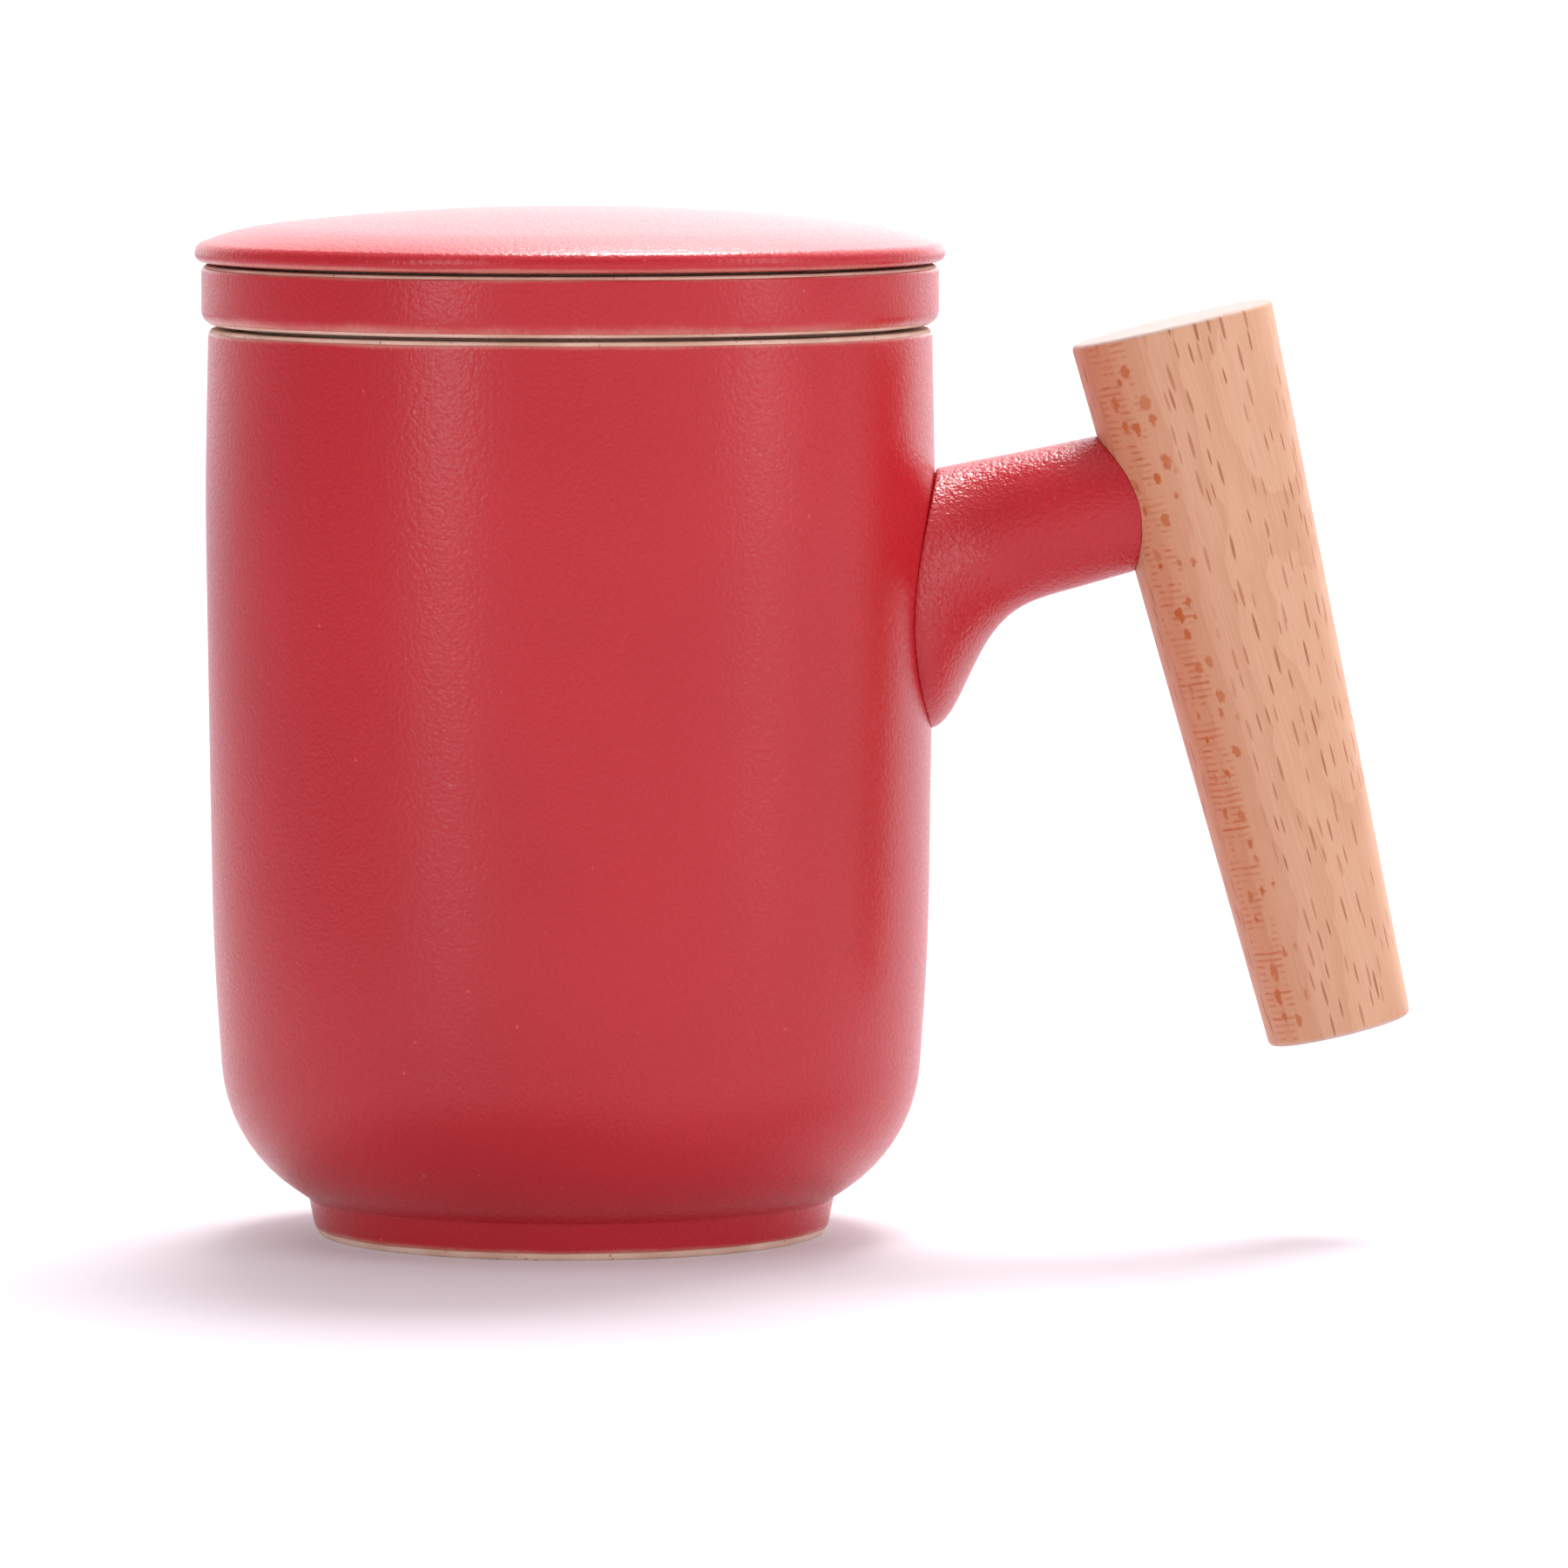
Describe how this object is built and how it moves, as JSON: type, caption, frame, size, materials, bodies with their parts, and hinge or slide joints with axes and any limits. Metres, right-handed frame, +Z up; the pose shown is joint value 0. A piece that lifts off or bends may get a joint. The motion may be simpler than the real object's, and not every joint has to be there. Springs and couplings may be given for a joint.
{
  "type": "lidded tea mug with strainer",
  "caption": "Red glazed stoneware tea mug with a lift-out perforated strainer, a low domed lid and a tapered wooden side grip on a flared ceramic stem.",
  "frame": {"origin": "centre of the foot ring, on the surface that the mug stands on", "axes": "+Z up along the mug's axis, +X from the mug's axis towards the handle, +Y to the left of someone who faces the handle's direction"},
  "size_m": [0.1426, 0.088, 0.1206],
  "materials": {
    "red_glaze": "satin red glaze over buff stoneware, raw at the seats and under the foot",
    "beech": "oiled beech with dark ray flecks along the grain",
    "adhesive": "cured clear epoxy"
  },
  "bodies": {
    "mug": {"mug_body": "red_glaze", "handle_stem": "red_glaze", "handle_grip": "beech", "handle_adhesive": "adhesive"},
    "infuser": {"infuser": "red_glaze"},
    "lid": {"lid": "red_glaze"}
  },
  "joints": [
    {"name": "infuser_lift", "type": "slide", "parent": "mug", "child": "infuser", "axis": [0, 0, 1], "range_m": [0, 0.085]},
    {"name": "lid_lift", "type": "slide", "parent": "infuser", "child": "lid", "axis": [0, 0, 1], "range_m": [0, 0.05]}
  ]
}
